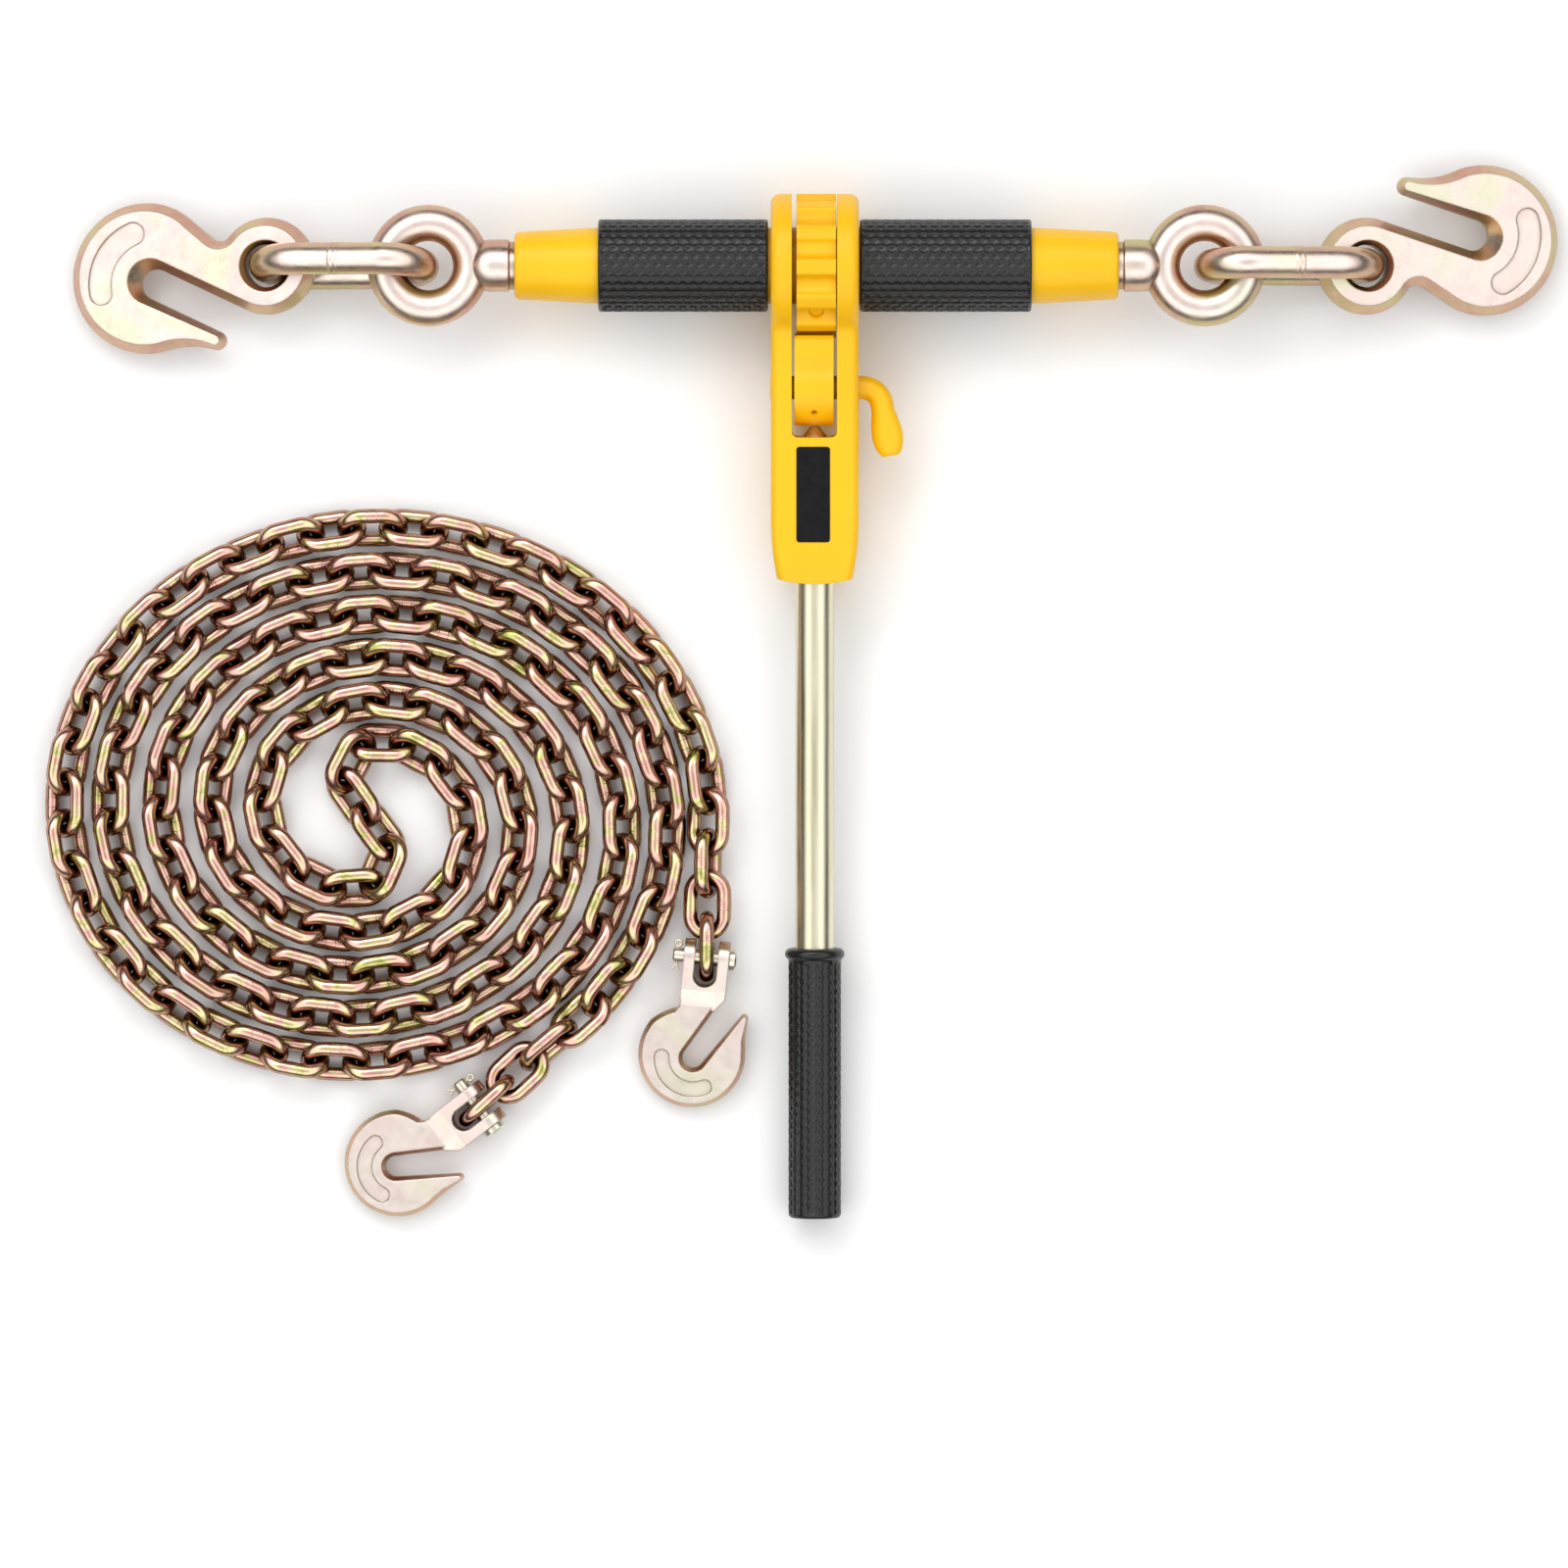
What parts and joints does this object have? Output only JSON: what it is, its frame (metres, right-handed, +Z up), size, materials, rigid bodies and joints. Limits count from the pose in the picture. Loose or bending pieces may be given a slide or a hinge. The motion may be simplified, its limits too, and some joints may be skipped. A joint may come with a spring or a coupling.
{
  "type": "ratchet load binder with binder chain",
  "caption": "Ratchet load binder with a grab hook linked to each screw eye, and a coiled tie-down chain with a clevis grab hook at both ends.",
  "frame": {"origin": "on the ground, below the centre of the whole layout's bounding box", "axes": "+X along the binder's barrel towards the end with the pawl lever, +Y from the handle's grip towards the barrel, +Z up from the ground"},
  "size_m": [0.6378, 0.4442, 0.0604],
  "materials": {
    "yellow_paint": "gloss powder coat",
    "black_rubber": "ribbed black rubber",
    "zinc_yellow": "yellow zinc plate",
    "chain_zinc": "yellow zinc plate, glossy",
    "tube_zinc": "satin yellow zinc",
    "pin_steel": "bright zinc",
    "spring_steel": "plain",
    "label": "matte black"
  },
  "bodies": {
    "barrel": {"barrel_tube": "yellow_paint", "ratchet_gear": "yellow_paint", "gear_pin": "yellow_paint", "sleeve_left": "black_rubber", "sleeve_right": "black_rubber"},
    "handle": {"yoke": "yellow_paint", "handle_tube": "tube_zinc", "handle_grip": "black_rubber", "label_plate": "label", "detent_spring": "spring_steel"},
    "pawl": {"pawl": "yellow_paint", "pawl_lever": "yellow_paint", "pawl_roll_pin": "yellow_paint"},
    "detent": {"detent_plunger": "pin_steel"},
    "screw_collar_left": {"screw_collar_left": "spring_steel"},
    "screw_collar_right": {"screw_collar_right": "spring_steel"},
    "eye_bolt_left": {"eye_bolt_left": "zinc_yellow"},
    "eye_bolt_right": {"eye_bolt_right": "zinc_yellow"},
    "link_left": {"link_left": "zinc_yellow"},
    "link_right": {"link_right": "zinc_yellow"},
    "grab_hook_left": {"grab_hook_left": "zinc_yellow"},
    "grab_hook_right": {"grab_hook_right": "zinc_yellow"},
    "chain_coil": {"chain_01": "chain_zinc", "chain_02": "chain_zinc", "chain_03": "chain_zinc", "chain_04": "chain_zinc", "chain_05": "chain_zinc", "chain_06": "chain_zinc", "chain_07": "chain_zinc", "chain_08": "chain_zinc", "chain_09": "chain_zinc", "chain_10": "chain_zinc", "chain_end_a": "chain_zinc", "chain_end_b": "chain_zinc"},
    "clevis_hook_a": {"clevis_hook_a": "zinc_yellow", "clevis_pin_a": "pin_steel", "cotter_pin_a": "pin_steel"},
    "clevis_hook_b": {"clevis_hook_b": "zinc_yellow", "clevis_pin_b": "pin_steel", "cotter_pin_b": "pin_steel"}
  },
  "joints": [
    {"name": "handle_turn", "type": "hinge", "parent": "barrel", "child": "handle", "pos_m": [0.00686, 0.17931, 0.0302], "axis": [1, 0, 0], "continuous": true},
    {"name": "pawl_swing", "type": "hinge", "parent": "handle", "child": "pawl", "pos_m": [0.00686, 0.12807, 0.02777], "axis": [1, 0, 0], "range_deg": [-13, 13]},
    {"name": "detent_slide", "type": "slide", "parent": "handle", "child": "detent", "axis": [0, -0.9989, -0.0474], "range_m": [0, 0.0015], "stiffness_N_per_m": 1500, "springref_m": -0.002},
    {"name": "left_screw_feed", "type": "slide", "parent": "barrel", "child": "screw_collar_left", "axis": [-1, 0, 0], "range_m": [0, 0.05083]},
    {"name": "left_screw_turn", "type": "hinge", "parent": "screw_collar_left", "child": "eye_bolt_left", "pos_m": [-0.09314, 0.17931, 0.0302], "axis": [1, 0, 0], "range_deg": [0, 2880]},
    {"name": "right_screw_feed", "type": "slide", "parent": "barrel", "child": "screw_collar_right", "axis": [1, 0, 0], "range_m": [0, 0.05083]},
    {"name": "right_screw_turn", "type": "hinge", "parent": "screw_collar_right", "child": "eye_bolt_right", "pos_m": [0.10686, 0.17931, 0.0302], "axis": [1, 0, 0], "range_deg": [0, 2880]},
    {"name": "left_link_swing", "type": "hinge", "parent": "eye_bolt_left", "child": "link_left", "pos_m": [-0.17431, 0.17931, 0.0302], "axis": [0, 1, 0], "range_deg": [-60, 60]},
    {"name": "right_link_swing", "type": "hinge", "parent": "eye_bolt_right", "child": "link_right", "pos_m": [0.18803, 0.17931, 0.0302], "axis": [0, 1, 0], "range_deg": [-60, 60]},
    {"name": "left_hook_swing", "type": "hinge", "parent": "link_left", "child": "grab_hook_left", "pos_m": [-0.20968, 0.17931, 0.0225], "axis": [0.0369, 0.9848, -0.1697], "range_deg": [-60, 60]},
    {"name": "right_hook_swing", "type": "hinge", "parent": "link_right", "child": "grab_hook_right", "pos_m": [0.2234, 0.17931, 0.0225], "axis": [0, 1, 0], "range_deg": [-60, 60]},
    {"name": "coil_lift", "type": "slide", "parent": "barrel", "child": "chain_coil", "axis": [0, 0, 1], "range_m": [0, 0.12]},
    {"name": "hook_a_swing", "type": "hinge", "parent": "chain_coil", "child": "clevis_hook_a", "pos_m": [-0.03944, -0.11189, 0.0102], "axis": [-0.9949, 0.1004, 0], "range_deg": [-20, 90]},
    {"name": "hook_b_swing", "type": "hinge", "parent": "chain_coil", "child": "clevis_hook_b", "pos_m": [-0.13565, -0.17529, 0.0102], "axis": [-0.6067, 0.7949, 0], "range_deg": [-20, 90]}
  ],
  "couplings": [
    {"joint": "right_screw_turn", "follows": "left_screw_turn", "ratio": 1},
    {"joint": "left_screw_feed", "follows": "left_screw_turn", "m_per_rad": 0.0010106},
    {"joint": "right_screw_feed", "follows": "left_screw_turn", "m_per_rad": 0.0010106}
  ]
}
